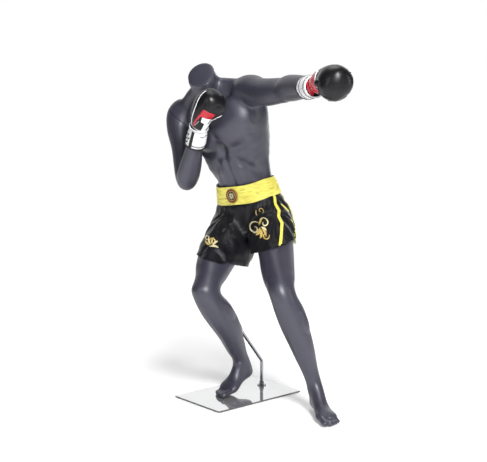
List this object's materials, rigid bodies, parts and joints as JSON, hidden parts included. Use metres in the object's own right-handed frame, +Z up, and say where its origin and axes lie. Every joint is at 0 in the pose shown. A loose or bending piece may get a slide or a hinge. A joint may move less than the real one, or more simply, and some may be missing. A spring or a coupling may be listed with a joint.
{
  "type": "boxing display mannequin",
  "caption": "Headless male boxing mannequin in a punching stance, with gloves and trunks, held by a bent calf rod on a polished rectangular plate.",
  "frame": {"origin": "centre of the underside of the base plate's underlay, on the floor", "axes": "+Z up; +X along the plate's long side; the figure faces -X and punches towards -Y"},
  "size_m": [0.5561, 1.1811, 1.3656],
  "materials": {
    "underlay": "matt thin sheet",
    "mirror_plate": "mirror polished steel",
    "chrome": "chrome plated",
    "dark_steel": "black oxide",
    "fitting": "zinc plated",
    "body_grey": "satin lacquer",
    "black_satin": "satin",
    "yellow_trim": "satin tape",
    "yellow_satin": "ruched satin",
    "elastic": "knitted elastic",
    "badge": "embroidered patch",
    "black_leather": "glossy",
    "red_leather": "semi gloss",
    "white_leather": "semi gloss",
    "strap": "hook and loop strap",
    "glove_trim": "bound edge"
  },
  "bodies": {
    "base": {"base_underlay": "underlay", "base_plate": "mirror_plate", "base_bolt": "dark_steel", "rod_flange": "chrome"},
    "set_screw": {"rod_set_screw": "dark_steel"},
    "rod": {"calf_rod": "chrome"},
    "hips": {"pelvis_shell": "body_grey", "right_leg_shell": "body_grey", "calf_socket": "fitting", "waist_socket": "fitting", "left_hip_socket": "fitting", "shorts_right_panel": "black_satin", "shorts_left_panel": "black_satin", "shorts_front_stripe": "yellow_trim", "shorts_side_stripe": "yellow_trim", "shorts_slit_trim": "yellow_trim", "waistband": "yellow_satin", "waist_elastic": "elastic", "waist_badge": "badge"},
    "left_leg": {"left_leg_shell": "body_grey", "left_hip_spigot": "fitting"},
    "torso": {"torso_shell": "body_grey", "waist_spigot": "fitting", "left_shoulder_socket": "fitting", "right_shoulder_socket": "fitting", "neck_ring": "fitting"},
    "cap": {"neck_cap": "body_grey"},
    "left_arm": {"left_arm_shell": "body_grey", "left_shoulder_spigot": "fitting", "left_wrist_socket": "fitting"},
    "right_arm": {"right_arm_shell": "body_grey", "right_shoulder_spigot": "fitting", "right_wrist_socket": "fitting"},
    "left_hand": {"left_fist": "body_grey", "left_wrist_peg": "fitting", "left_glove_padding": "black_leather", "left_glove_thumb": "black_leather", "left_glove_patch": "red_leather", "left_glove_cuff": "white_leather", "left_glove_strap": "strap", "left_glove_trim": "glove_trim"},
    "right_hand": {"right_fist": "body_grey", "right_wrist_peg": "fitting", "right_glove_padding": "black_leather", "right_glove_thumb": "black_leather", "right_glove_patch": "red_leather", "right_glove_cuff": "white_leather", "right_glove_strap": "strap", "right_glove_trim": "glove_trim"}
  },
  "joints": [
    {"name": "rod_swivel", "type": "hinge", "parent": "base", "child": "rod", "pos_m": [0.153, 0.025, 0.06], "axis": [0, 0, 1], "range_deg": [-12, 12]},
    {"name": "set_screw_turn", "type": "hinge", "parent": "base", "child": "set_screw", "pos_m": [0.163, 0.025, 0.0185], "axis": [1, 0, 0], "continuous": true},
    {"name": "figure_lift", "type": "slide", "parent": "rod", "child": "hips", "axis": [-0.6779, -0.1949, 0.7089], "range_m": [0, 0.05]},
    {"name": "left_leg_turn", "type": "hinge", "parent": "hips", "child": "left_leg", "pos_m": [0.11498, -0.07523, 0.70013], "axis": [-0.4519, -0.6649, -0.5947], "range_deg": [0, 10]},
    {"name": "torso_lift", "type": "slide", "parent": "hips", "child": "torso", "axis": [-0.1401, 0.0951, 0.9856], "range_m": [0, 0.05]},
    {"name": "cap_lift", "type": "slide", "parent": "torso", "child": "cap", "axis": [-0.7401, -0.3401, 0.5801], "range_m": [0, 0.02]},
    {"name": "left_arm_turn", "type": "hinge", "parent": "torso", "child": "left_arm", "pos_m": [0.01074, -0.08371, 1.25655], "axis": [-0.1013, -0.993, 0.0608], "range_deg": [-15, 15]},
    {"name": "right_arm_turn", "type": "hinge", "parent": "torso", "child": "right_arm", "pos_m": [-0.044, 0.321, 1.156], "axis": [-0.2465, 0.5136, -0.8218], "range_deg": [0, 15]},
    {"name": "left_wrist_turn", "type": "hinge", "parent": "left_arm", "child": "left_hand", "pos_m": [-0.18, -0.6, 1.25], "axis": [-0.4202, -0.9074, 0.0074], "range_deg": [-30, 30]},
    {"name": "right_wrist_turn", "type": "hinge", "parent": "right_arm", "child": "right_hand", "pos_m": [-0.169, 0.05, 1.086], "axis": [-0.1884, -0.5305, 0.8265], "range_deg": [-15, 15]}
  ]
}
